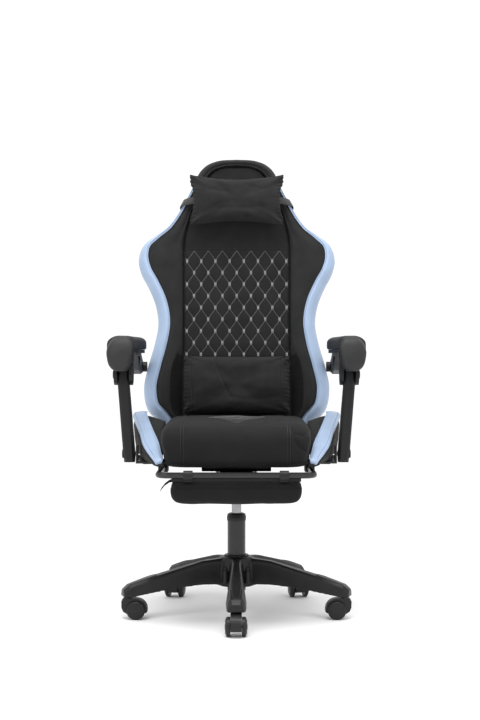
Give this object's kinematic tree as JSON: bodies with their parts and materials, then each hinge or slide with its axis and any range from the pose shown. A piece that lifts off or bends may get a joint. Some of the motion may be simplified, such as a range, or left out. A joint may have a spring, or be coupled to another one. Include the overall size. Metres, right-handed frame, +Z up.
{
  "type": "gaming chair",
  "caption": "Racing-shaped office chair with a reclining back, winged seat, linkage armrests, slide-out footrest, tilt mechanism, gas lift and star base on twin-wheel casters.",
  "frame": {"origin": "on the floor, on the axis of the gas lift, at the middle of the chair's footprint", "axes": "+Z up, -Y the way the sitter faces, +X the sitter's left"},
  "size_m": [0.705, 0.7186, 1.3125],
  "materials": {
    "black_fabric": "matte woven",
    "panel_fabric": "matte woven, stitched in diamonds",
    "pillow_fabric": "matte woven",
    "blue_leather": "satin",
    "base_plastic": "satin",
    "wheel_plastic": "satin",
    "arm_plastic": "satin",
    "soft_pad": "soft touch",
    "black_steel": "gloss powder coat",
    "seat_board": "black painted plywood",
    "chrome": "polished",
    "bright_steel": "bright zinc",
    "webbing": "woven elastic"
  },
  "bodies": {
    "base": {"star_base": "base_plastic", "column_tube": "black_steel", "column_bush": "base_plastic"},
    "caster_1": {"caster_hood_1": "base_plastic"},
    "wheel_1_left": {"caster_wheel_1_left": "wheel_plastic"},
    "wheel_1_right": {"caster_wheel_1_right": "wheel_plastic"},
    "caster_2": {"caster_hood_2": "base_plastic"},
    "wheel_2_left": {"caster_wheel_2_left": "wheel_plastic"},
    "wheel_2_right": {"caster_wheel_2_right": "wheel_plastic"},
    "caster_3": {"caster_hood_3": "base_plastic"},
    "wheel_3_left": {"caster_wheel_3_left": "wheel_plastic"},
    "wheel_3_right": {"caster_wheel_3_right": "wheel_plastic"},
    "caster_4": {"caster_hood_4": "base_plastic"},
    "wheel_4_left": {"caster_wheel_4_left": "wheel_plastic"},
    "wheel_4_right": {"caster_wheel_4_right": "wheel_plastic"},
    "caster_5": {"caster_hood_5": "base_plastic"},
    "wheel_5_left": {"caster_wheel_5_left": "wheel_plastic"},
    "wheel_5_right": {"caster_wheel_5_right": "wheel_plastic"},
    "piston": {"gas_piston": "chrome"},
    "mechanism": {"tilt_housing": "black_steel", "tilt_pin": "bright_steel", "tilt_spring": "bright_steel"},
    "knob": {"tension_knob": "base_plastic"},
    "lever_pivot": {"lever_bush": "base_plastic"},
    "lever": {"lift_lever": "base_plastic"},
    "seat": {"seat_plate": "black_steel", "seat_frame": "seat_board", "seat_cushion": "black_fabric", "seat_bolster_left": "black_fabric", "seat_bolster_right": "black_fabric", "seat_trim_left": "blue_leather", "seat_trim_right": "blue_leather", "hinge_plate_left": "black_steel", "hinge_plate_right": "black_steel", "arm_bracket_left": "black_steel", "arm_bracket_right": "black_steel", "footrest_guide_left": "arm_plastic", "footrest_guide_right": "arm_plastic"},
    "recline_handle": {"recline_lever": "base_plastic"},
    "back": {"back_frame": "black_steel", "back_cushion": "panel_fabric", "back_bolster_left": "black_fabric", "back_bolster_right": "black_fabric", "back_trim_left": "blue_leather", "back_trim_right": "blue_leather", "back_cover": "black_fabric", "head_pillow": "pillow_fabric", "head_strap": "webbing", "lumbar_pillow": "pillow_fabric", "back_pivot_left": "arm_plastic", "back_pivot_right": "arm_plastic"},
    "post_left": {"arm_post_left": "arm_plastic"},
    "arm_left": {"arm_shell_left": "arm_plastic", "arm_pad_left": "soft_pad"},
    "post_right": {"arm_post_right": "arm_plastic"},
    "arm_right": {"arm_shell_right": "arm_plastic", "arm_pad_right": "soft_pad"},
    "footrest": {"footrest_frame": "black_steel"},
    "footrest_flap": {"footrest_board": "arm_plastic", "footrest_pad": "black_fabric"}
  },
  "joints": [
    {"name": "caster_swivel_1", "type": "hinge", "parent": "base", "child": "caster_1", "pos_m": [0, -0.306, 0.07], "axis": [0, 0, 1], "continuous": true},
    {"name": "wheel_spin_1_left", "type": "hinge", "parent": "caster_1", "child": "wheel_1_left", "pos_m": [0.0209, -0.324, 0.025], "axis": [1, 0, 0], "continuous": true},
    {"name": "wheel_spin_1_right", "type": "hinge", "parent": "caster_1", "child": "wheel_1_right", "pos_m": [-0.0209, -0.324, 0.025], "axis": [1, 0, 0], "continuous": true},
    {"name": "caster_swivel_2", "type": "hinge", "parent": "base", "child": "caster_2", "pos_m": [0.29102, -0.09456, 0.07], "axis": [0, 0, 1], "continuous": true},
    {"name": "wheel_spin_2_left", "type": "hinge", "parent": "caster_2", "child": "wheel_2_left", "pos_m": [0.27302, -0.11546, 0.025], "axis": [0, -1, 0], "continuous": true},
    {"name": "wheel_spin_2_right", "type": "hinge", "parent": "caster_2", "child": "wheel_2_right", "pos_m": [0.27302, -0.07366, 0.025], "axis": [0, -1, 0], "continuous": true},
    {"name": "caster_swivel_3", "type": "hinge", "parent": "base", "child": "caster_3", "pos_m": [0.17986, 0.24756, 0.07], "axis": [0, 0, 1], "continuous": true},
    {"name": "wheel_spin_3_left", "type": "hinge", "parent": "caster_3", "child": "wheel_3_left", "pos_m": [0.20405, 0.2343, 0.025], "axis": [0.9781, 0.2079, 0], "continuous": true},
    {"name": "wheel_spin_3_right", "type": "hinge", "parent": "caster_3", "child": "wheel_3_right", "pos_m": [0.16316, 0.22561, 0.025], "axis": [0.9781, 0.2079, 0], "continuous": true},
    {"name": "caster_swivel_4", "type": "hinge", "parent": "base", "child": "caster_4", "pos_m": [-0.17986, 0.24756, 0.07], "axis": [0, 0, 1], "continuous": true},
    {"name": "wheel_spin_4_left", "type": "hinge", "parent": "caster_4", "child": "wheel_4_left", "pos_m": [-0.16316, 0.22561, 0.025], "axis": [0.9781, -0.2079, 0], "continuous": true},
    {"name": "wheel_spin_4_right", "type": "hinge", "parent": "caster_4", "child": "wheel_4_right", "pos_m": [-0.20405, 0.2343, 0.025], "axis": [0.9781, -0.2079, 0], "continuous": true},
    {"name": "caster_swivel_5", "type": "hinge", "parent": "base", "child": "caster_5", "pos_m": [-0.29102, -0.09456, 0.07], "axis": [0, 0, 1], "continuous": true},
    {"name": "wheel_spin_5_left", "type": "hinge", "parent": "caster_5", "child": "wheel_5_left", "pos_m": [-0.27302, -0.07366, 0.025], "axis": [0, 1, 0], "continuous": true},
    {"name": "wheel_spin_5_right", "type": "hinge", "parent": "caster_5", "child": "wheel_5_right", "pos_m": [-0.27302, -0.11546, 0.025], "axis": [0, 1, 0], "continuous": true},
    {"name": "height", "type": "slide", "parent": "base", "child": "piston", "axis": [0, 0, 1], "range_m": [-0.05, 0.045]},
    {"name": "swivel", "type": "hinge", "parent": "piston", "child": "mechanism", "pos_m": [0, 0, 0.35], "axis": [0, 0, 1], "continuous": true},
    {"name": "tension_turn", "type": "hinge", "parent": "mechanism", "child": "knob", "pos_m": [0, -0.075, 0.33], "axis": [0, 0, 1], "continuous": true},
    {"name": "lever_lift", "type": "hinge", "parent": "mechanism", "child": "lever_pivot", "pos_m": [-0.051, -0.02, 0.362], "axis": [0, 1, 0], "range_deg": [0, 5], "stiffness_Nm_per_rad": 4, "springref_deg": -8.59},
    {"name": "lever_pull", "type": "slide", "parent": "lever_pivot", "child": "lever", "axis": [-1, 0, 0], "range_m": [0, 0.02]},
    {"name": "tilt", "type": "hinge", "parent": "mechanism", "child": "seat", "pos_m": [0, -0.055, 0.4], "axis": [-1, 0, 0], "range_deg": [0, 12], "stiffness_Nm_per_rad": 150, "springref_deg": -17.19},
    {"name": "recline", "type": "hinge", "parent": "seat", "child": "back", "pos_m": [0, 0.205, 0.47], "axis": [-1, 0, 0], "range_deg": [0, 40]},
    {"name": "recline_release", "type": "hinge", "parent": "seat", "child": "recline_handle", "pos_m": [-0.245, 0.205, 0.47], "axis": [-1, 0, 0], "range_deg": [0, 20], "stiffness_Nm_per_rad": 1, "springref_deg": -22.92},
    {"name": "post_swing_left", "type": "hinge", "parent": "seat", "child": "post_left", "pos_m": [0.2915, -0.1, 0.45], "axis": [-1, 0, 0], "range_deg": [0, 40]},
    {"name": "arm_level_left", "type": "hinge", "parent": "post_left", "child": "arm_left", "pos_m": [0.3095, -0.07, 0.665], "axis": [-1, 0, 0], "range_deg": [-40, 0]},
    {"name": "post_swing_right", "type": "hinge", "parent": "seat", "child": "post_right", "pos_m": [-0.2915, -0.1, 0.45], "axis": [-1, 0, 0], "range_deg": [0, 40]},
    {"name": "arm_level_right", "type": "hinge", "parent": "post_right", "child": "arm_right", "pos_m": [-0.3095, -0.07, 0.665], "axis": [-1, 0, 0], "range_deg": [-40, 0]},
    {"name": "footrest_slide", "type": "slide", "parent": "seat", "child": "footrest", "axis": [0, -1, 0], "range_m": [0, 0.2]},
    {"name": "footrest_flip", "type": "hinge", "parent": "footrest", "child": "footrest_flap", "pos_m": [0, -0.295, 0.408], "axis": [-1, 0, 0], "range_deg": [0, 180]}
  ],
  "couplings": [
    {"joint": "post_swing_left", "follows": "recline", "ratio": 1},
    {"joint": "arm_level_left", "follows": "recline", "ratio": -1},
    {"joint": "post_swing_right", "follows": "recline", "ratio": 1},
    {"joint": "arm_level_right", "follows": "recline", "ratio": -1}
  ]
}
